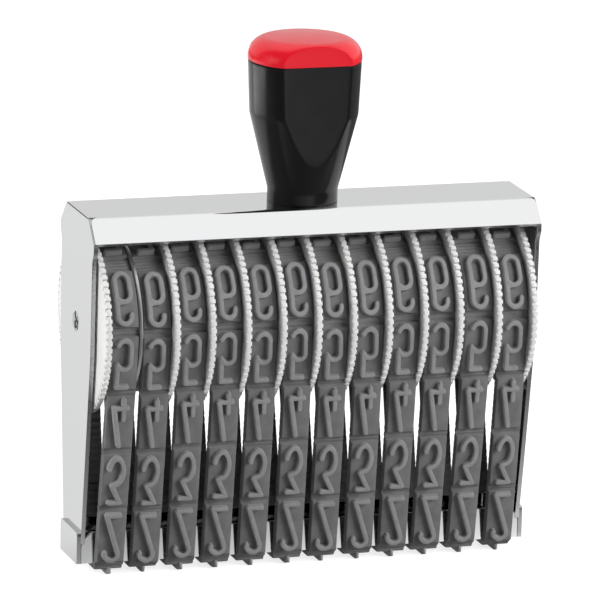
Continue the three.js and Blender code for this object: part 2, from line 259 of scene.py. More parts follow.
# A finished piece on its body, with its slot and the node it stands for
def buildMesh(name, points, faces, finish, body, node=None, smoothAngle=35, weld=0.001):
    mesh = bpy.data.meshes.new(name)
    faces = faces.tolist() if isinstance(faces, np.ndarray) else faces
    mesh.from_pydata((points.reshape(-1, 3) * mm).tolist(), [], faces)
    mesh.update()
    piece = bpy.data.objects.new(name, mesh)
    bpy.context.collection.objects.link(piece)
    mesh.materials.append(finishes[finish])
    tidyMesh(mesh, weld, smoothAngle)
    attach(piece, body)
    if node:
        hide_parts(node)
    return piece


# Doubles are merged first, so that poles and seams close before the faces are turned outwards
def tidyMesh(mesh, weld, smoothAngle):
    work = bmesh.new()
    work.from_mesh(mesh)
    bmesh.ops.remove_doubles(work, verts=work.verts, dist=weld * mm)
    bmesh.ops.dissolve_degenerate(work, edges=work.edges, dist=weld * mm)
    bmesh.ops.recalc_face_normals(work, faces=work.faces)
    limit = math.radians(smoothAngle)
    for edge in work.edges:
        edge.smooth = len(edge.link_faces) == 2 and edge.calc_face_angle(0) < limit
    for face in work.faces:
        face.smooth = True
    work.to_mesh(mesh)
    work.free()


# Points of an arc or an oval, centre + radii * (cos a, sin a), at even steps of the angle a
def arc(centre, radii, start, end, count=17):
    angle = np.radians(np.linspace(start, end, count))
    return np.array(centre) + np.array(radii) * np.stack([np.cos(angle), np.sin(angle)], 1)


# The same line with points added along it, at steps near a given length
def densified(profile, step):
    parts = [profile[:1]]
    for a, b in zip(profile[:-1], profile[1:]):
        count = max(1, int(np.hypot(*(b - a)) / step))
        parts.append(a + (b - a) * (np.arange(1, count + 1) / count)[:, None])
    return np.concatenate(parts)


# Surface of revolution about X or Z: a closed or pole-to-pole profile (along, radius), whose
# radius may change with the angle. The steps round it are even, or repeat a few uneven parts
def revolve(profile, steps, axis, centre=(0, 0, 0), radiusAt=None, parts=(0,)):
    even = np.arange(steps // len(parts))[:, None] + np.array(parts)
    angle = even.reshape(-1, 1) * 2 * math.pi * len(parts) / steps
    along = np.broadcast_to(profile[:, 0], (steps, len(profile)))
    radius = np.broadcast_to(profile[:, 1], (steps, len(profile)))
    if radiusAt is not None:
        radius = radiusAt(radius, along, angle)
    if axis == "X":
        place = [along, radius * np.sin(angle), radius * np.cos(angle)]
    else:
        place = [radius * np.cos(angle), radius * np.sin(angle), along]
    return np.stack(place, axis=2).reshape(-1, 3) + np.asarray(centre)


# Digit bands: one closed rubber loop each, ribbed inside, with padded cells outside
band = {
    "width": 8.3,
    "base": 0.95,
    "pad": 0.9,
    "relief": 1.45,
    "clearance": 0.3,
    "drum": 20.15,
    "bridgeCorner": 1.0,
    "cell": 17.4,
    "cellShift": 0.57,
    "blankCells": 2,
    "sag": 0.6,
    "leanCurve": 0.7,
    "edgeRound": 0.12,
    "grooveFoot": 1.5,
    "grooveMouth": 2.3,
    "padTopHalf": 3.75,
    "padFootHalf": 3.98,
    "padEdge": ((0.16, 0.22), (0.02, 0.05), (-0.15, 0)),
    "wideGap": 2.9,
    "gapRows": (-3.4, 0.6, 0.18),
    "ridgePitch": 1.1,
    "ridgeHeight": 0.22,
    "ribsPerCell": 9,
    "ribDepth": 0.35,
    "ribHalf": 0.32,
    "ribWall": 0.12,
    "ribRows": (0.2, 0.32, 0.68, 0.8),
    "leastStep": 0.07,
}

# The loop's parts, from the middle of its bottom: flatEnd, cornerEnd, runEnd and topMiddle are
# where they end along it, and runTilt is how the straight run leans, tangent to both its arcs
beltRadius = band["drum"] + band["clearance"]
bridgeHalfDepth = bridgeHigh[1]
cornerY = bridgeHalfDepth - band["bridgeCorner"]
cornerZ = bridgeLow[2] + band["bridgeCorner"]
cornerBelt = band["bridgeCorner"] + band["clearance"]
reachY, reachZ = cornerY, axleHeight - cornerZ
reach = math.hypot(reachY, reachZ)
runTilt = math.atan2(reachZ, reachY) - math.acos((beltRadius - cornerBelt) / reach)
middle = band["base"] / 2
flatEnd = cornerY
cornerEnd = flatEnd + (math.pi / 2 - runTilt) * (cornerBelt + middle)
runEnd = cornerEnd + reachZ * math.cos(runTilt) - reachY * math.sin(runTilt)
topMiddle = runEnd + (math.pi / 2 + runTilt) * (beltRadius + middle)
loopLength = 2 * topMiddle
bandThickness = band["base"] + band["pad"]
cellCount = int(loopLength // band["cell"])
cellsUpFront = cellCount // 2
cellsUpRear = cellCount - 1 - cellsUpFront
departure = axleHeight - beltRadius * math.sin(runTilt)


# Point of the loop at a distance along it from the middle of the bottom, towards the front, and
# a height above its inner face: bottom flat, corner arc, straight run and wheel arc in turn,
# mirrored front to rear for the negative half
def loopPoint(along, height):
    along, height = np.broadcast_arrays(np.asarray(along, float), np.asarray(height, float))
    along = (along + topMiddle) % loopLength - topMiddle
    side = np.where(along < 0, 1.0, -1.0)
    far = np.abs(along)
    turn = (far - flatEnd) / (cornerBelt + middle)
    cornerReach = cornerBelt + height
    run = far - cornerEnd
    outY, outZ = math.cos(runTilt), -math.sin(runTilt)
    angle = -runTilt + (far - runEnd) / (beltRadius + middle)
    drumReach = beltRadius + height
    zones = [far <= flatEnd, far <= cornerEnd, far <= runEnd]
    y = np.select(zones, [
        far,
        cornerY + cornerReach * np.sin(turn),
        cornerY + cornerReach * outY - run * outZ,
    ], drumReach * np.cos(angle))
    z = np.select(zones, [
        bridgeLow[2] - band["clearance"] - height,
        cornerZ - cornerReach * np.cos(turn),
        cornerZ + cornerReach * outZ + run * outY,
    ], axleHeight + drumReach * np.sin(angle))
    return side * y, z


# A band keeps to its wheel. Below it the band leans towards its own place on the bridge, with a
# power of the depth under the wheel
def onBand(across, along, height, place):
    y, z = loopPoint(along, height)
    share = np.clip((departure - z) / departure, 0, 1) ** band["leanCurve"]
    lean = place["play"] + (place["foot"] - place["play"]) * share
    return np.stack([place["centre"] + across + lean, y, z], axis=-1)


# Middle of a cell along the loop: evenly spaced but for a slight sag of the cells up the front,
# a half sine wave, and the wide gap before the topmost one
def cellMiddle(cell, place):
    extra = band["wideGap"] if cell == cellsUpFront else 0.0
    if 0 < cell < cellsUpFront:
        extra = -band["sag"] * math.sin(math.pi * cell / (cellsUpFront - 0.5))
    return cell * band["cell"] + band["cellShift"] + place["creep"] + extra


# How far the pad stands up from the base: none in a groove, all of it inside a cell, and a
# smooth step 3t^2 - 2t^3 on the slope between them
def padShare(along, place):
    halfCell = band["cell"] / 2
    foot, mouth = band["grooveFoot"] / 2, band["grooveMouth"] / 2
    share = np.zeros_like(along)
    for cell in range(-cellsUpRear, cellsUpFront + 1):
        offset = along - cellMiddle(cell, place)
        away = np.abs((offset + loopLength / 2) % loopLength - loopLength / 2)
        rise = np.clip((halfCell - foot - away) / (mouth - foot), 0, 1)
        share = np.maximum(share, rise * rise * (3 - 2 * rise))
    return share


# Rows along the loop: at the ribs' walls, the grooves' slopes, the bridge's corners and the
# ridges in the wide gap, and none too close to the one before
def bandStations(place):
    halfCell = band["cell"] / 2
    rib = band["cell"] / band["ribsPerCell"]
    ribs = (np.arange(int(loopLength / rib))[:, None] + band["ribRows"]) * rib
    foot, mouth = band["grooveFoot"] / 2, band["grooveMouth"] / 2
    edge = halfCell - np.array([foot * 0.5, foot, (foot + mouth) / 2, mouth, mouth * 1.2])
    middles = np.array([cellMiddle(c, place) for c in range(-cellsUpRear, cellsUpFront + 1)])
    corner = np.linspace(flatEnd, cornerEnd, 7)
    gaps = middles[-1] - halfCell + np.arange(*band["gapRows"])
    stations = np.concatenate([
        ribs.ravel(), (middles[:, None] + edge).ravel(), (middles[:, None] - edge).ravel(),
        corner, -corner, gaps,
    ])
    stations = np.sort(stations % loopLength)
    keep = np.concatenate([[True], np.diff(stations) > band["leastStep"]])
    return stations[keep]


# Fine cross ridges on the bare base: a raised cosine along the loop
def gapRidges(along, share):
    wave = 0.5 + 0.5 * np.cos(2 * math.pi * along / band["ridgePitch"])
    return band["ridgeHeight"] * (1 - share) * wave


# Height of the inner face: a trapezoid wave, none on a rib and a rib's depth between two
def ribHeight(along):
    rib = band["cell"] / band["ribsPerCell"]
    part = (along % rib) / rib
    rise = np.clip((band["ribHalf"] - np.abs(part - 0.5)) / band["ribWall"] + 0.5, 0, 1)
    return band["ribDepth"] * (1 - rise)


# A band's section is a flat strip with rounded corners and a narrower pad on its outer face, its
# sides sloped and its edges rounded. The section is carried along the loop
def makeBand(index, place):
    half = band["width"] / 2
    along = bandStations(place)
    inner = ribHeight(along)
    depth = padShare(along, place)
    base, corner = band["base"] + gapRidges(along, depth), band["edgeRound"]
    top = base + band["pad"] * depth
    foot, crown = band["padFootHalf"], band["padTopHalf"]
    zero = np.zeros_like(along)
    topHalf = crown + (foot - crown) * (1 - depth)
    section = [
        (half - corner + zero, inner),
        (half + zero, inner + corner),
        (half + zero, base - corner),
        (half - corner + zero, base),
        (foot + zero, base + 0.01 * depth),
        *((topHalf + out * depth, top - down * depth) for out, down in band["padEdge"]),
        (topHalf * 0.5, top),
    ]
    across = np.stack([part[0] for part in section] + [-part[0] for part in section[::-1]], 1)
    height = np.stack([part[1] for part in section] + [part[1] for part in section[::-1]], 1)
    points = onBand(across, along[:, None], height, place)
    faces = gridFaces(len(along), across.shape[1], True, True)
    return buildMesh(
        f"rubberBand_{index:02d}", points, faces, "rubber", "stamp",
        f"digit_band_{index:02d}", 40,
    )


# Digits are raised strokes. A stroke's edge is given as (inwards, down) from its top's full width
stroke = {
    "topHalf": 0.6,
    "footHalf": 0.73,
    "edge": ((0, 0.12), (0.03, 0.04), (0.11, 0)),
    "sunk": 0.12,
    "mitre": 0.55,
    "step": 0.6,
    "drop": 0.012,
    "sharpCorner": 48,
    "samePoint": 0.05,
}


# Straight pieces through given points
def line(*ends):
    return np.array(ends, float)


# Lines and arcs end to end, without the points that two of them share
def chain(*parts):
    path = np.concatenate(parts)
    keep = np.concatenate([[True], np.hypot(*np.diff(path, axis=0).T) > stroke["samePoint"]])
    return path[keep]


# Centre lines in (across, up the band), as they lie on the band, which is upside down and
# mirrored, as printing type is. The keys are the cells, counted up the front from the bottom
def digitStrokes():
    two = [chain(
        line((1.65, 6.83), (-2.0, 6.83)), arc((-0.17, -4.87), (1.87, 1.87), 19, -191, 21),
    )]
    three = [chain(
        arc((-0.3, 3.03), (2.02, 3.85), 168, -78, 27),
        line((-1.25, -1.29), (1.2, -6.42), (-1.9, -6.42)),
    )]
    four = [
        line((-0.28, -6.45), (-2.1, 4.68), (1.65, 4.68)),
        line((0.55, 6.93), (0.55, 1.4)),
    ]
    five = [chain(
        arc((-0.35, 5.03), (1.9, 1.9), 158, 0),
        arc((-0.43, 0.83), (1.97, 1.97), 0, -115),
        line((-2.05, 0.13), (-2.05, -6.47), (0.85, -6.47)),
    )]
    six = [
        chain(
            arc((-0.2, -4.67), (1.92, 1.95), 6, -180, 21),
            arc((-0.12, 4.23), (2.0, 2.0), 180, 0, 21),
            arc((-0.12, 0.73), (2.0, 2.0), 0, -140),
        ),
        line((-0.3, -1.25), (-1.95, -1.45)),
    ]
    seven = [line((-2.0, -6.45), (1.75, -6.45), (-0.5, 6.8))]
    eight = [
        arc((0, 3.3), (1.9, 3.35), 0, 360, 33),
        arc((0, -3.35), (2.05, 3.3), 0, 360, 33),
    ]
    nine = [-path for path in six]
    nought = [arc((0, 0), (2.05, 6.6), 0, 360, 49)]
    one = [line((0.1, 7.3), (0.1, -6.9), (-1.4, -4.8))]
    upFront = [one, two, three, four, five, six, seven]
    upRear = [nought, nine, eight]
    places = dict(enumerate(upFront))
    firstRear = -1 - band["blankCells"]
    places.update({firstRear - step: strokes for step, strokes in enumerate(upRear)})
    return places


# A stroke is a raised bar: at each point of its centre line a tapered section with a rounded top
# runs from side to side, and half circles close its two ends
def strokeGrid(path):
    closed = np.hypot(*(path[0] - path[-1])) < stroke["samePoint"]
    if closed:
        path = path[:-1]
    ahead = np.roll(path, -1, 0) - path
    ahead /= np.hypot(*ahead.T)[:, None]
    behind = np.roll(ahead, 1, 0)
    if not closed:
        ahead[-1], behind[0] = behind[-1], ahead[0]
    mean = ahead + behind
    mean /= np.hypot(*mean.T)[:, None]
    stretch = 1 / np.maximum(stroke["mitre"], np.sum(mean * ahead, 1))
    normal = np.stack([-mean[:, 1], mean[:, 0]], 1)
    inward, down = np.array(stroke["edge"]).T
    foot, relief = stroke["footHalf"], band["relief"]
    halves = np.concatenate([[foot, foot], stroke["topHalf"] - inward, [0]])
    heights = np.concatenate([[-stroke["sunk"], 0], relief - down, [relief]])
    halves = np.concatenate([halves, -halves[-2::-1]])
    heights = np.concatenate([heights, heights[-2::-1]])
    forward = np.zeros(len(path))
    squeeze = np.ones(len(path))
    if not closed:
        turn = np.radians(np.linspace(90, 0, 6, endpoint=False))
        count = len(turn)
        path, mean, normal = (
            np.pad(part, ((count, count), (0, 0)), "edge") for part in (path, mean, normal)
        )
        stretch = np.pad(stretch, count, constant_values=1)
        forward = np.concatenate([-np.sin(turn), forward, np.sin(turn)[::-1]])
        squeeze = np.concatenate([np.cos(turn), squeeze, np.cos(turn)[::-1]])
    flat = path[:, None] + normal[:, None] * (halves * (squeeze * stretch)[:, None])[:, :, None]
    flat = flat + mean[:, None] * (np.abs(halves) * forward[:, None])[:, :, None]
    return flat, np.broadcast_to(heights, flat.shape[:2]), closed


# A stroke is cut wherever its centre line turns more sharply than the limit
def splitAtCorners(path):
    heading = np.arctan2(*np.diff(path, axis=0).T[::-1])
    turn = np.abs((np.diff(heading) + math.pi) % (2 * math.pi) - math.pi)
    corners = np.flatnonzero(turn > math.radians(stroke["sharpCorner"])) + 1
    bounds = [0, *corners, len(path) - 1]
    return [path[a:b + 1] for a, b in zip(bounds[:-1], bounds[1:])]


# All strokes of a band, each laid on the loop at its cell, a later one a touch lower
def makeDigits(index, place):
    allPoints, allFaces, start = [], [], 0
    for cell, strokes in digitStrokes().items():
        pieces = [part for path in strokes for part in splitAtCorners(path)]
        for order, path in enumerate(pieces):
            flat, height, closed = strokeGrid(densified(path, stroke["step"]))
            along = cellMiddle(cell, place) + flat[:, :, 1]
            height = height - stroke["drop"] * order
            points = onBand(flat[:, :, 0], along, bandThickness + height, place)
            rows, columns = height.shape
            allPoints.append(points.reshape(-1, 3))
            allFaces.append(gridFaces(rows, columns, closed, True, start))
            start += rows * columns
    return buildMesh(
        f"raisedDigits_{index:02d}", np.concatenate(allPoints), np.concatenate(allFaces),
        "digit", "stamp", None, 42,
    )


# Number wheels: drum, web and a rim cut into square teeth
wheel = {
    "teeth": 77,
    "toothDepth": 1.0,
    "toothWall": (0.2, 0.24),
    "toothParts": (0.0, 0.1, 0.2, 0.24, 0.38, 0.62, 0.76, 0.8, 0.9),
    "discWidth": 1.5,
    "rimWidth": 1.44,
    "rimInner": 23.1,
    "rimFoot": 0.2,
    "cutStart": 1.2,
    "cutFull": 0.5,
    "bore": 2.5,
    "edge": 0.16,
    "drumEdge": 0.3,
    "webRound": (0.2, 0.25),
}


# A section's left side, in (inwards, radius) from its low end, what lies between, and the mirror
# image of that side at its high end
def bothSides(low, high, side, crown=()):
    left = [(low + inwards, radius) for inwards, radius in side]
    return left + list(crown) + [(high - inwards, radius) for inwards, radius in side[::-1]]


# The rim is cut down between the teeth: the cut grows from none to all of it over the wall's
# share of a tooth's pitch, and fades out inwards of the rim
def toothCut(radius, along, angle):
    part = (angle * wheel["teeth"] / (2 * math.pi) + 1e-6) % 1  # a hair on, never a step back
    away = 0.5 - np.abs(part - 0.5)
    floor, top = wheel["toothWall"]
    cut = np.clip((top - away) / (top - floor), 0, 1)
    start, full = discRadius - wheel["cutStart"], discRadius - wheel["cutFull"]
    share = np.clip((radius - start) / (full - start), 0, 1)
    return radius - wheel["toothDepth"] * cut * share


# A wheel's section goes out along the drum and the web, round the rim and back down the far side
def makeWheel(index, low, high, play, mirrored):
    drum, bore, edge = band["drum"], wheel["bore"], wheel["edge"]
    web = high - wheel["discWidth"]
    wide = (wheel["rimWidth"] - wheel["discWidth"]) / 2
    roundIn, roundOut = wheel["webRound"]
    rim = bothSides(web - wide, high + wide, [
        (0, wheel["rimInner"] + wheel["rimFoot"]), (0, discRadius - wheel["cutStart"]),
        (0, discRadius - wheel["cutFull"]), (0, discRadius - edge),
        (edge * 0.35, discRadius - edge * 0.3), (edge, discRadius),
    ], [((web + high) / 2, discRadius)])
    profile = np.array([
        (low, bore), (low, drum - wheel["drumEdge"]), (low + wheel["drumEdge"], drum),
        (web - roundIn, drum), (web, drum + roundOut), (web, wheel["rimInner"]),
        *rim, (high, wheel["rimInner"]), (high, bore),
    ])
    if mirrored:
        profile[:, 0] = low + high - profile[:, 0]
    parts = wheel["toothParts"]
    steps = wheel["teeth"] * len(parts)
    points = revolve(profile, steps, "X", (play, 0, axleHeight), toothCut, parts)
    faces = gridFaces(steps, len(profile), True, True)
    return buildMesh(
        f"thumbWheel_{index:02d}", points, faces, "white", f"wheel_{index:02d}",
        f"number_wheel_{index:02d}", 32,
    )


# In the photo the first ten wheels sit a little close together on the axle, and each band has
# crept a little round its wheel (up the front) and along the bridge
stack = {
    "play": -0.3,
    "closing": -0.85,
    "closedBy": 7,
    "lastClose": 10,
    "loosePlay": -0.2,
    "footPlay": (0, -0.1, 0, -0.1, 0, 0.35, 0.2, 0.35, 0, -0.45, -0.3, 0.4),
    "creep": (-0.1, -0.7, 0.1, 0.1, -0.2, 0.1, -0.5, -0.4, -0.1, -0.3, -0.3, -0.7),
}


# How far a wheel has moved along the axle: evenly more from the first one to the one by which
# the stack has closed
def playOf(index):
    if index > stack["lastClose"]:
        return stack["loosePlay"]
    return stack["play"] + stack["closing"] * min(1, (index - 1) / (stack["closedBy"] - 1))


for index in range(1, bandCount + 1):
    bandLow, bandHigh = nodeBox(f"digit_band_{index:02d}")
    bandPlace = {
        "centre": bandLow[0] + band["width"] / 2,
        "foot": bandHigh[0] - bandLow[0] - band["width"] + stack["footPlay"][index - 1],
        "play": playOf(index),
        "creep": stack["creep"][index - 1],
    }
    makeBand(index, bandPlace)
    makeDigits(index, bandPlace)
    wheelLow, wheelHigh = nodeBox(f"number_wheel_{index:02d}")
    makeWheel(index, wheelLow[0], wheelHigh[0], playOf(index), index == 1)
print("bands and wheels made")


# Turned steel: a profile of (along, radius) from pole to pole, or closed round a bore
def makeTurned(name, node, body, profile, axis, centre=(0, 0, 0), finish="steel", steps=96):
    profile = np.array(profile, float)
    closed = profile[0, 1] > 0
    points = revolve(profile, steps, axis, centre)
    faces = gridFaces(steps, len(profile), True, closed)
    return buildMesh(name, points, faces, finish, body, node, 30)


# A ring as long and as wide as its node, with both outer edges rounded
def makeRing(name, node, axis, bore, edge, centre=(0, 0, 0)):
    low, high = nodeBox(node)
    along = "XYZ".index(axis)
    radius, soft = high[(along + 1) % 3], edge * 0.3
    profile = bothSides(low[along], high[along], [
        (0, bore), (0, radius - edge), (soft, radius - soft), (edge, radius),
    ])
    makeTurned(name, node, "stamp", profile, axis, centre)


# Separator: a thin disc, its rim swollen to both sides
separator = {
    "rimWidth": 0.95,
    "rimDepth": 1.4,
    "rimSlope": 0.2,
    "rimEdge": ((0, 0.2), (0.08, 0.06), (0.22, 0)),
    "play": -0.35,
    "steps": 180,
}
separatorLow, separatorHigh = nodeBox("separator_disc")
separatorRadius = separatorHigh[1]
swell = (separator["rimWidth"] - (separatorHigh[0] - separatorLow[0])) / 2
rimFoot = separatorRadius - separator["rimDepth"]
makeTurned(
    "separatorRing", "separator_disc", "separator",
    bothSides(separatorLow[0] - swell, separatorHigh[0] + swell, [
        (swell, wheel["bore"]), (swell, rimFoot), (0, rimFoot + separator["rimSlope"]),
        *((inwards, separatorRadius - down) for inwards, down in separator["rimEdge"]),
    ]),
    "X", (separator["play"], 0, axleHeight), "satin", separator["steps"],
)

# Spacer, washer and screw, all plain turned steel
turned = {
    "spacerEdge": 0.2,
    "washerBore": 2.3,
    "washerEdge": 0.15,
    "screwRadius": 2.0,
    "screwTip": (0.5, 0.4),
    "headHeight": 2.2,
    "headEdge": 0.5,
}
makeRing(
    "spacerRing", "end_spacer", "X", wheel["bore"], turned["spacerEdge"], (0, 0, axleHeight)
)
makeRing("washerRing", "screw_washer", "Z", turned["washerBore"], turned["washerEdge"])

screwLow, screwHigh = nodeBox("handle_screw")
headRadius, headEdge = screwHigh[0], turned["headEdge"]
shank, tip = turned["screwRadius"], turned["screwTip"]
makeTurned("clampScrew", "handle_screw", "stamp", [
    (screwLow[2], 0),
    (screwLow[2], headRadius - headEdge),
    (screwLow[2] + headEdge * 0.3, headRadius - headEdge * 0.3),
    (screwLow[2] + headEdge, headRadius),
    (screwLow[2] + turned["headHeight"], headRadius),
    (screwLow[2] + turned["headHeight"], shank),
    (screwHigh[2] - tip[0], shank),
    (screwHigh[2], shank - tip[1]),
    (screwHigh[2], 0),
], "Z")

# Axle: the rod's ends are peened over the side plates into low domes, with three chisel marks
axle = {
    "radius": 2.2,
    "headRadius": 2.85,
    "headThickness": 0.75,
    "dome": 0.12,
    "domeShape": ((0.1, 0.45), (0.4, 0.75), (1, 0.93)),  # shares of its fall and of the radius
    "headEdge": 0.15,
    "step": 0.1,
    "steps": 120,
    "markDepth": 0.3,
    "markWidth": 0.75,
    # faces on marks deeper than this take the dark finish, as painted shade
    "markFloor": 0.08,
    "slide": 0.2,
    "marks": (
        ((-0.4, 2.1), (-1.6, 1.0)), ((-0.5, -0.4), (-0.5, -1.1)), ((-2.6, -0.2), (-2.4, -1.0)),
    ),
}


# Depth of the chisel marks at a place on the end: a bell curve of the distance to each mark's line
def markDepth(y, z):
    depth = np.zeros_like(y)
    for start, end in np.array(axle["marks"]):
        span = end - start
        share = ((y - start[0]) * span[0] + (z - start[1]) * span[1]) / (span @ span)
        share = np.clip(share, 0, 1)
        away = np.hypot(y - start[0] - share * span[0], z - start[1] - share * span[1])
        depth = np.maximum(depth, axle["markDepth"] * np.exp(-(away / axle["markWidth"]) ** 2))
    return depth


endX, headRadius = axleHigh[0], axle["headRadius"]
headFace = endX - axle["headThickness"]
headDome = [
    (endX, 0.01),
    *((endX - axle["dome"] * fall, headRadius * share) for fall, share in axle["domeShape"]),
    (endX - axle["dome"] - axle["headEdge"], headRadius),
]


# The rod and its heads are turned about X, the marks are pressed into both ends, and the faces on
#  the marks' floors take the dark finish, as painted shade in the marks
def makeAxle():
    dome = densified(np.array(headDome), axle["step"])
    side = np.concatenate([
        [(endX, 0)], dome, [(headFace, headRadius), (headFace, axle["radius"])]
    ])
    profile = np.concatenate([side, (side * [-1, 1])[::-1]])
    steps = axle["steps"]
    x, y, z = revolve(profile, steps, "X").T
    onEnd = (np.abs(x) > headFace + 0.2) & (np.hypot(y, z) < headRadius - 0.02)
    x = x - np.sign(x) * np.where(onEnd, markDepth(y, z), 0)
    points = np.stack([x + axle["slide"], y, z + axleHeight], 1)
    faces = gridFaces(steps, len(profile), True, False)
    rod = buildMesh("axleRod", points, faces, "steel", "stamp", "axle", 40)
    rod.data.materials.append(finishes["fold"])
    centres = np.zeros(3 * len(rod.data.polygons))
    rod.data.polygons.foreach_get("center", centres)
    x, y, z = centres.reshape(-1, 3).T / mm
    onEnd = np.abs(x - axle["slide"]) > headFace + 0.1
    paintedShadeFloors = onEnd & (markDepth(y, z - axleHeight) > axle["markFloor"])
    rod.data.polygons.foreach_set("material_index", paintedShadeFloors.astype(np.int32))
    return rod


makeAxle()
print("turned pieces made")


# Frame: polished sheet with a flat top, sloped flanges and folded side plates
sheet = {
    "thickness": 1.2,
    "topHalf": 11.2,
    "foldRadius": 2.0,
    "endFold": 0.3,
    "edgeRound": 0.34,
    "edgeSteps": 2,
    "edgeFrom": 50,
    # the dark tube of painted shade along each end fold: its radius, drop, sinking and shortening
    "paintedShadeLine": 0.22,
    "shadeLineDrop": 0.08,
    "shadeLineSunk": 0.5,
    "shadeLineShort": 0.1,
    "shoulderHalf": 16.8,
    "shoulderDrop": 6.1,
    "shoulderHeight": 2.0,
    "waistHalf": 15.45,
    "waistDrop": 3.2,
    "hipHalf": 15.1,
    "hipBelowAxle": 6.6,
    "footHalf": 8.8,
    "footChamfer": 0.7,
    "flangeShort": 0.1,
    "flangeInset": 0.25,
    "flangeRound": 3.0,
    "leftOut": 0.3,
    "rightSlip": 0.1,
    "rightIn": 1.1,
    "rightInHeight": 90.0,
}


# A modelled outer face gets its thickness inwards, cut edges of their own finish, and soft corners
def solidSheet(piece, thickness, edge):
    piece.data.materials.append(finishes["edge"])
    wall = piece.modifiers.new("wall", "SOLIDIFY")
    wall.thickness = thickness * mm
    wall.offset = -1
    wall.use_even_offset = True
    wall.material_offset_rim = 1
    trim = piece.modifiers.new("trim", "BEVEL")
    trim.width = edge * mm
    trim.segments = sheet["edgeSteps"]
    trim.limit_method = "ANGLE"
    trim.angle_limit = math.radians(sheet["edgeFrom"])
    return piece


flangeAngle = math.atan2(sheet["shoulderDrop"], sheet["shoulderHalf"] - sheet["topHalf"])
foldY = sheet["topHalf"] - sheet["foldRadius"] * math.tan(flangeAngle / 2)
shoulderTop = topHeight - sheet["shoulderDrop"]
plateOuter = frameHigh[0]
flangeEnd = plateOuter - sheet["flangeShort"] - sheet["flangeRound"]


# Half depth of the side plate at a height: straight pieces between the outline's corners, and
# a little behind the outer face of the flange at the top
def plateHalfDepth(height):
    shoulderFoot = shoulderTop - sheet["shoulderHeight"]
    inset = sheet["flangeInset"]
    lipDrop = sheet["foldRadius"] * (1 - math.cos(flangeAngle))
    lipReach = foldY + sheet["foldRadius"] * math.sin(flangeAngle)
    heights = [
        frameLow[2], frameLow[2] + sheet["footChamfer"], axleHeight - sheet["hipBelowAxle"],
        shoulderFoot - sheet["waistDrop"], shoulderFoot, shoulderTop - inset, shoulderTop,
        topHeight - lipDrop, topHeight,
    ]
    depths = [
        sheet["footHalf"] - sheet["footChamfer"], sheet["footHalf"], sheet["hipHalf"],
        sheet["waistHalf"], sheet["shoulderHalf"], sheet["shoulderHalf"],
        sheet["shoulderHalf"] - inset, lipReach - inset, foldY,
    ]
    return np.interp(height, heights, depths)


# The left plate stands a little out of the fold, and the right one leans in towards its foot
# with the square of the depth under the top
def plateLean(x, z):
    below = np.clip(topHeight - z, 0, None)
    slip = sheet["rightSlip"]
    rightIn = slip + (sheet["rightIn"] - slip) * (below / sheet["rightInHeight"]) ** 2
    rightShift = np.where(x > flangeEnd + 0.1, rightIn, 0)
    leftShift = np.where(x < -flangeEnd - 0.1, sheet["leftOut"], 0)
    return x - rightShift - leftShift


# The U-shaped strip runs up one side plate, over the top and down the other, with a row of points
# between its two long edges at each step, at steps that are closer where the outline bends. The
# flanges hang on the top's edges, down an arc and a slope, and each one's ends run out past the
# top in a quarter circle
def makeFrame():
    r = sheet["endFold"]
    shoulderFoot = shoulderTop - sheet["shoulderHeight"]
    fold = arc((plateOuter - r, topHeight - r), r, 0, 90, 7)
    heights = np.concatenate([
        frameLow[2] + np.array([0, 0.5, 1]) * sheet["footChamfer"],
        np.linspace(frameLow[2] + 4, axleHeight - sheet["hipBelowAxle"], 12),  # foot to hip
        np.linspace(axleHeight, shoulderFoot - sheet["waistDrop"], 6),  # axle to waist
        np.linspace(shoulderFoot - 1.6, shoulderFoot, 3),  # waist to shoulder
        [shoulderTop - 0.6, shoulderTop - sheet["flangeInset"]],
        np.linspace(shoulderTop, topHeight - 0.65, 6),  # behind the flanges
    ])
    side = np.stack([np.full_like(heights, plateOuter), heights], 1)
    half = np.concatenate([side, fold, [[flangeEnd, topHeight]]])
    top = np.stack([np.linspace(flangeEnd, 0, 12)[1:], np.full(11, topHeight)], 1)
    path = np.concatenate([half, top, (top * [-1, 1])[-2::-1], (half * [-1, 1])[::-1]])
    share = np.linspace(-1, 1, 17)
    x, z = path.T
    depth = np.where(np.abs(x) <= flangeEnd + 0.01, foldY, plateHalfDepth(z))
    points = pointGrid(plateLean(x, z)[:, None], depth[:, None] * share, z[:, None])
    allPoints, allFaces = [points.reshape(-1, 3)], [gridFaces(len(path), len(share))]
    count = len(path) * len(share)
    across = x[np.abs(x) <= flangeEnd + 0.01]
    lip = arc(
        (foldY, topHeight - sheet["foldRadius"]), sheet["foldRadius"], 90,
        90 - math.degrees(flangeAngle), 8,
    )
    slope = np.linspace(lip[-1], (sheet["shoulderHalf"], shoulderTop), 8)[1:]
    profile = np.concatenate([lip, slope])
    down = np.concatenate([[0], np.cumsum(np.hypot(*np.diff(profile, axis=0).T))])
    left = np.clip(sheet["flangeRound"] - down, 0, None)
    reach = flangeEnd + np.sqrt(sheet["flangeRound"] ** 2 - left ** 2)
    for side in (-1, 1):
        flange = pointGrid(
            across[:, None] / flangeEnd * reach, side * profile[:, 0], profile[:, 1]
        )
        allPoints.append(flange.reshape(-1, 3))
        allFaces.append(gridFaces(len(across), len(profile), start=count))
        count += len(across) * len(profile)
    piece = buildMesh(
        "foldedFrame", np.concatenate(allPoints), np.concatenate(allFaces), "plate", "stamp",
        "frame", 28,
    )
    return solidSheet(piece, sheet["thickness"], sheet["edgeRound"])
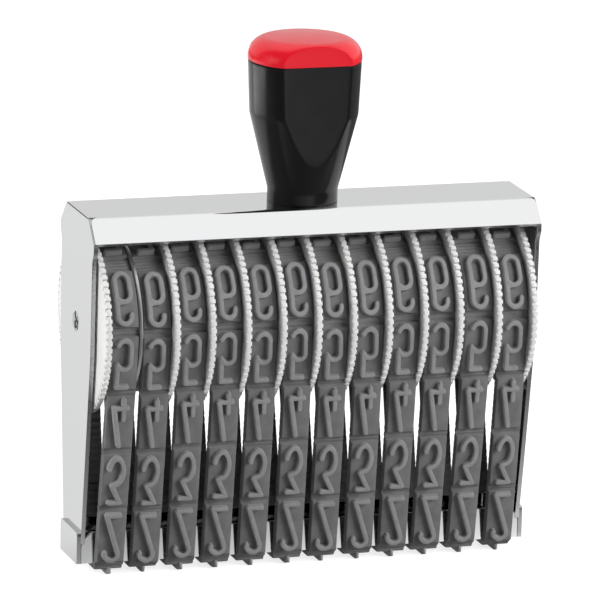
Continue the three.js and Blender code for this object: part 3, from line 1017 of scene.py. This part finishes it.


# A thin dark tube sunk into each end fold, from the rear edge to the front one, as painted shade
# along the fold
def makeFoldShadeLine(side):
    radius = sheet["paintedShadeLine"]
    centre = sheet["endFold"] * (1 - math.sqrt(0.5)) + radius * sheet["shadeLineSunk"]
    x = side * (plateOuter - centre)
    x -= sheet["leftOut"] if side < 0 else sheet["rightSlip"]
    sides, rows = 12, 9
    turn = np.linspace(0, 2 * math.pi, sides, endpoint=False)
    end = foldY - sheet["shadeLineShort"]
    y = np.linspace(-end, end, rows)
    points = pointGrid(
        x + radius * np.cos(turn), y[:, None],
        topHeight - centre - sheet["shadeLineDrop"] + radius * np.sin(turn),
    )
    caps = [np.arange(sides)[::-1], (rows - 1) * sides + np.arange(sides)]
    faces = gridFaces(rows, sides, False, True).tolist() + [cap.tolist() for cap in caps]
    name = "leftFoldShadeLine" if side < 0 else "rightFoldShadeLine"
    return buildMesh(name, points, faces, "fold", "stamp")


makeFrame()
makeFoldShadeLine(-1)
makeFoldShadeLine(1)

# Bridge: a shallow channel under the bands, with an ear folded up outside each side plate
bridge = {
    "thickness": 0.9,
    "earThickness": 1.2,
    "edgeRound": 0.22,
    "earEdge": 0.28,
    "earGap": 0.12,
    "earOver": 0.03,
    "earFoot": (0.3, 0.1),
    "lip": 0.4,
    "drop": 0.25,
    "slideLeft": -0.3,
    "slideRight": -0.95,
    "top": 12.3,
    "notchFloor": 8.3,
    "notchSlope": 3.2,
    "earRound": 1.1,
    "endRows": (0, 0.2, 0.5, 1, 1.6, 2.3, 3.2, 4.5, 7, 12),
}


# Height of the wall's top edge along the channel: level, and down to a notch beside each ear with
# the square root of the distance to it
def wallTopAt(x, low, high):
    away = np.minimum(x - low, high - x)
    rise = np.clip(away / bridge["notchSlope"], 0, 1)
    return bridge["notchFloor"] + (bridge["top"] - bridge["notchFloor"]) * np.sqrt(rise)


# The channel's section runs down the rear wall, round its corner, over the floor and up the front
# wall, and is carried from ear to ear under the wall's changing top
def makeBridge():
    halfY, lip = bridgeHigh[1], bridge["lip"]
    bottom = bridgeLow[2] - bridge["drop"]
    low = bridgeLow[0] + bridge["slideLeft"]
    high = bridgeHigh[0] + bridge["slideRight"]
    inset = bridge["earThickness"] + bridge["earGap"]
    wallLow, wallHigh = low + inset, high - inset
    ends = np.array(bridge["endRows"])
    between = np.linspace(wallLow + ends[-1], wallHigh - ends[-1], 14)[1:-1]
    x = np.concatenate([wallLow + ends, between, wallHigh - ends[::-1]])
    share = np.linspace(1, 0, 6)
    rim = wallTopAt(x, wallLow, wallHigh)
    wallZ = bottom + lip + (rim[:, None] - bottom - lip) * share
    corner = arc((halfY - lip, bottom + lip), lip, 0, -90, 6)[1:]
    floorY = np.linspace(halfY - lip, 0, 5)[1:]
    y = np.concatenate([np.full(len(share), halfY), corner[:, 0], floorY])
    under = np.concatenate([corner[:, 1], np.full(len(floorY), bottom)])
    z = np.concatenate([wallZ, np.broadcast_to(under, (len(x), len(under)))], 1)
    y = np.concatenate([y, -y[-2::-1]])
    z = np.concatenate([z, z[:, -2::-1]], 1)
    piece = buildMesh(
        "bridgeTray", pointGrid(x[:, None], y, z), gridFaces(len(x), len(y)), "plate", "stamp",
        "bottom_bridge", 28,
    )
    solidSheet(piece, bridge["thickness"], bridge["edgeRound"])
    for side, ear in ((-1, low), (1, high)):
        makeEar(side, ear, bottom)


# An ear: rows from the bottom to the top, whose half width follows a quarter circle at its top
# and a small slope at its foot
def makeEar(side, place, bottom):
    halfY, corner = bridgeHigh[1] + bridge["earOver"], bridge["earRound"]
    far, near = bridge["earFoot"]
    level = np.linspace(bottom + far, bridge["top"] - corner, 8)
    turn = np.radians(np.linspace(0, 90, 8)[1:])
    heights = np.concatenate([
        [bottom, bottom + near], level, bridge["top"] - corner * (1 - np.sin(turn))
    ])
    half = np.concatenate([
        [halfY - far, halfY - near], np.full(len(level), halfY),
        halfY - corner * (1 - np.cos(turn)),
    ])
    share = np.linspace(-1, 1, 15) * side
    points = pointGrid(place, half[:, None] * share, heights[:, None])
    name = "leftEar" if side < 0 else "rightEar"
    piece = buildMesh(
        name, points, gridFaces(len(heights), len(share)), "plate", "stamp",
        None, 28,
    )
    wall = solidSheet(piece, bridge["earThickness"], bridge["earEdge"]).modifiers["wall"]
    if piece.data.polygons[0].normal.x * side < 0:
        wall.offset = 1


makeBridge()
print("sheet pieces made")


# Handle: a black grip that swells from a neck, cut flat at the front, and a red cap on its seam
handle = {
    "neckRadius": 9.75,
    "neckHeight": 3.4,
    "coneRadius": 15.0,
    "coneTop": 24.5,
    "bellyRadius": 15.06,
    "bellyTop": 25.6,
    "facetFoot": 11.5,
    "facetLean": 0.019,
    "facetRound": 0.18,
    "lean": 0.005,
    "aside": 0.25,
    "seamGap": 0.22,
    "seamStep": 0.5,
    "gripRounds": (0.12, 0.6, 0.5, 0.4, 0.15, 0.1, 0.05),
    "capRounding": 5.7,
    "capBrow": 0.9,
    "capDome": 0.5,
    "capLift": 0.08,
    "capEdge": ((0, 0.2), (0.05, 0.06), (0.2, 0)),
    "step": 0.5,
    "steps": 360,
}
seam = gripHigh[2]
seamRadius = gripHigh[0]
handleBase = gripLow[2]


# Each corner is rounded by a parabola, (1 - t)^2 start + 2 t (1 - t) corner + t^2 end, from one
# side of it to the other
def smoothProfile(corners, rounds, count=7):
    corners = np.array(corners, float)
    path = [corners[0]]
    for before, corner, after, size in zip(corners, corners[1:], corners[2:], rounds):
        a, b = before - corner, after - corner
        a, b = a / np.hypot(*a), b / np.hypot(*b)
        t = np.linspace(0, 1, count)[:, None]
        start, end = corner + a * size, corner + b * size
        path.extend((1 - t) ** 2 * start + 2 * t * (1 - t) * corner + t * t * end)
    path.append(corners[-1])
    return np.array(path)


# The round body is pressed flat where it would pass the facet's plane: the smaller of the two
# depths, with the branch of a hyperbola as a soft edge. The whole handle leans a little
def facetPress(points):
    up = points[:, 2] - handleBase
    limit = handle["facetFoot"] + handle["facetLean"] * up
    soft = handle["facetRound"]
    depth = -points[:, 1]
    over = depth - limit
    pressed = limit + 0.5 * (over - np.sqrt(over * over + soft * soft))
    points = points.copy()
    points[:, 1] = -np.minimum(depth, pressed)
    points[:, 0] -= handle["aside"] + handle["lean"] * up
    return points


# The outline is turned about Z, then pressed
def makeHandlePiece(name, outline, finish, node):
    outline = densified(outline, handle["step"])
    points = facetPress(revolve(outline, handle["steps"], "Z"))
    faces = gridFaces(handle["steps"], len(outline), True, False)
    return buildMesh(name, points, faces, finish, "stamp", node, 40)


# The grip's outline: up the neck, out along the cone, up the belly and in under the seam
def makeGrip():
    h = handle
    seamFoot, seamInner = seam - h["seamGap"], seamRadius - h["seamStep"]
    outline = smoothProfile([
        (handleBase, 0.0), (handleBase, h["neckRadius"]),
        (handleBase + h["neckHeight"], h["neckRadius"]),
        (handleBase + h["coneTop"], h["coneRadius"]),
        (handleBase + h["bellyTop"], h["bellyRadius"]),
        (seamFoot, seamRadius), (seamFoot, seamInner), (seam, seamInner), (seam, 0.0),
    ], h["gripRounds"])
    makeHandlePiece("handleGrip", outline, "black", "handle_grip")


# The cap's outline: up its edge and brow, in along a quarter of an ellipse, and over a dome that
# falls with the square of the radius
def makeCap():
    h = handle
    base, radius = seam + h["capLift"], capHigh[0]
    brow, crown = capHigh[2] - h["capDome"], radius - h["capRounding"]
    turn = np.radians(np.linspace(0, 90, 17))
    rounding = np.stack([
        base + h["capBrow"] + (brow - base - h["capBrow"]) * np.sin(turn),
        radius - h["capRounding"] * (1 - np.cos(turn)),
    ], 1)
    dome = np.linspace(crown, 0, 14)[1:]
    over = np.stack([brow + h["capDome"] * (1 - (dome / crown) ** 2), dome], 1)
    edge = [(base + up, radius - inwards) for up, inwards in h["capEdge"]]
    outline = np.concatenate([[(base, 0.0)], edge, rounding, over])
    makeHandlePiece("handleCap", outline, "red", "handle_cap")


makeGrip()
makeCap()
print("handle made")


# Floor, backdrop and light: white to the camera, plain level on the part. What polished pieces see
# is a grey level along a coordinate: in metres on the floor, from -1 to 1 in the sky
studio = {
    "floorSize": 8000,
    "floorColour": 0.42,
    "floorLift": 0.8,
    "floorMirror": 1.4,
    "floorDepth": (
        (-0.6, 0.62), (-0.4, 0.36), (-0.22, 0.07), (-0.1, 0.12), (-0.03, 0.6), (0.03, 0.95),
        (0.6, 0.95),
    ),
    "floorWidth": (
        (-0.4, 0.1), (-0.2, 0.6), (-0.06, 0.57), (0.06, 0.95), (0.18, 0.95), (0.205, 0.1),
        (0.6, 0.15),
    ),
    "skyLevel": 0.14,
    "skyDepth": (
        (-1, 0.08), (-0.75, 0.1), (-0.5, 0.75), (-0.32, 1.0), (0.2, 1.0), (0.8, 0.74), (1, 0.68),
    ),
    "skyRight": ((-1, 0), (0.3, 0), (0.55, 0.85), (1, 0.9)),
    "skyLeft": ((-0.5, 0.12), (-0.3, 1)),
    "skySlant": 0.6,
}

# Lamps: place, aim and size, power in watts, and whether polished pieces show them
lamps = {
    "keySoftbox": ((850, -820, 590), (0, 0, 60), (750, 750), 20.5, False),
    "rearStrip": ((-247, 168, 61), (0, 0, 80), (230, 26), 0.045, True),
    "leftFill": ((-960, -20, 270), (0, 0, 70), (450, 450), 8.5, False),
    "topFill": ((-120, 480, 950), (0, 0, 120), (500, 500), 4.8, False),
}


# Coordinates of one kind, as outputs X, Y and Z
def coordinates(tree, kind):
    split = addNode(tree, "SeparateXYZ")
    wire(tree, split, {"Vector": addNode(tree, "TexCoord").outputs[kind]})
    return split.outputs


# A ramp that reads one coordinate: stops are (coordinate, grey level)
def coordinateRamp(tree, coordinate, stops):
    low, high = stops[0][0], stops[-1][0]
    factor = spread(tree, coordinate, low, high)
    return ramp(tree, factor, [((at - low) / (high - low), [level] * 3) for at, level in stops])


# The floor is lifted to white for the camera. Polished pieces see the product of its two ramps
def makeFloor():
    size = studio["floorSize"] * mm
    mesh = bpy.data.meshes.new("floor")
    corners = [(-size, -size, 0), (size, -size, 0), (size, size, 0), (-size, size, 0)]
    mesh.from_pydata(corners, [], [(0, 1, 2, 3)])
    floor = bpy.data.objects.new("floor", mesh)
    bpy.context.collection.objects.link(floor)
    material, shader = newMaterial("floorPaper", [studio["floorColour"]] * 3, 0.9, specular=0.0)
    mesh.materials.append(material)
    tree = material.node_tree
    rays = addNode(tree, "LightPath").outputs
    lift = addNode(tree, "Math", operation="MULTIPLY")
    lift.inputs[1].default_value = studio["floorLift"]
    strength = wire(tree, lift, {0: rays["Is Camera Ray"]})
    glow = wire(tree, addNode(tree, "Emission", Color=(1, 1, 1, 1)), {"Strength": strength})
    paper = wire(tree, addNode(tree, "AddShader"), {0: shader.outputs["BSDF"], 1: glow})
    place = coordinates(tree, "Object")
    shade = combine(
        tree, "MULTIPLY", coordinateRamp(tree, place["Y"], studio["floorDepth"]),
        coordinateRamp(tree, place["X"], studio["floorWidth"]),
    )
    mirror = addNode(tree, "Emission", Strength=studio["floorMirror"])
    sources = {"Fac": rays["Is Glossy Ray"], 1: paper, 2: wire(tree, mirror, {"Color": shade})}
    seen = wire(tree, addNode(tree, "MixShader"), sources)
    tree.links.new(seen, tree.nodes["Material Output"].inputs["Surface"])


# An even dome of light, white to the camera. Polished pieces see it light above and behind, dark
# in front, and dark on the left along a slanted coordinate, X and a share of Y
def makeWorld():
    world = bpy.data.worlds.new("studio")
    bpy.context.scene.world = world
    world.use_nodes = True
    tree = world.node_tree
    even = tree.nodes["Background"]
    even.inputs["Color"].default_value = (1, 1, 1, 1)
    even.inputs["Strength"].default_value = studio["skyLevel"]
    way = coordinates(tree, "Generated")
    x, y = way["X"], way["Y"]
    slant = addNode(tree, "Math", operation="MULTIPLY_ADD")
    slant.inputs[1].default_value = studio["skySlant"]
    slanted = wire(tree, slant, {0: y, 2: x})
    shade = combine(
        tree, "MULTIPLY", coordinateRamp(tree, y, studio["skyDepth"]),
        coordinateRamp(tree, slanted, studio["skyLeft"]),
    )
    shade = combine(tree, "MAXIMUM", shade, coordinateRamp(tree, x, studio["skyRight"]))
    mirror = wire(tree, addNode(tree, "Background"), {"Color": shade})
    white = addNode(tree, "Background", Color=(1, 1, 1, 1)).outputs["Background"]
    rays = addNode(tree, "LightPath").outputs
    seen = even.outputs["Background"]
    for ray, other in (("Is Glossy Ray", mirror), ("Is Camera Ray", white)):
        seen = wire(tree, addNode(tree, "MixShader"), {"Fac": rays[ray], 1: seen, 2: other})
    tree.links.new(seen, tree.nodes["World Output"].inputs["Surface"])


# A rectangular lamp, turned to face its aim
def addLamp(name, place, aim, size, power, mirrored):
    lamp = bpy.data.lights.new(name, "AREA")
    lamp.shape = "RECTANGLE"
    lamp.size, lamp.size_y = size[0] * mm, size[1] * mm
    lamp.energy = power
    lampObject = bpy.data.objects.new(name, lamp)
    lampObject.location = Vector(place) * mm
    towards = (Vector(aim) - Vector(place)).normalized()
    lampObject.rotation_mode = "QUATERNION"
    lampObject.rotation_quaternion = towards.to_track_quat("-Z", "Y")
    lampObject.visible_camera = False
    lampObject.visible_glossy = mirrored
    bpy.context.collection.objects.link(lampObject)


makeFloor()
makeWorld()
for name, lamp in lamps.items():
    addLamp(name, *lamp)
bpy.context.scene.view_settings.view_transform = "Standard"
print("studio made")
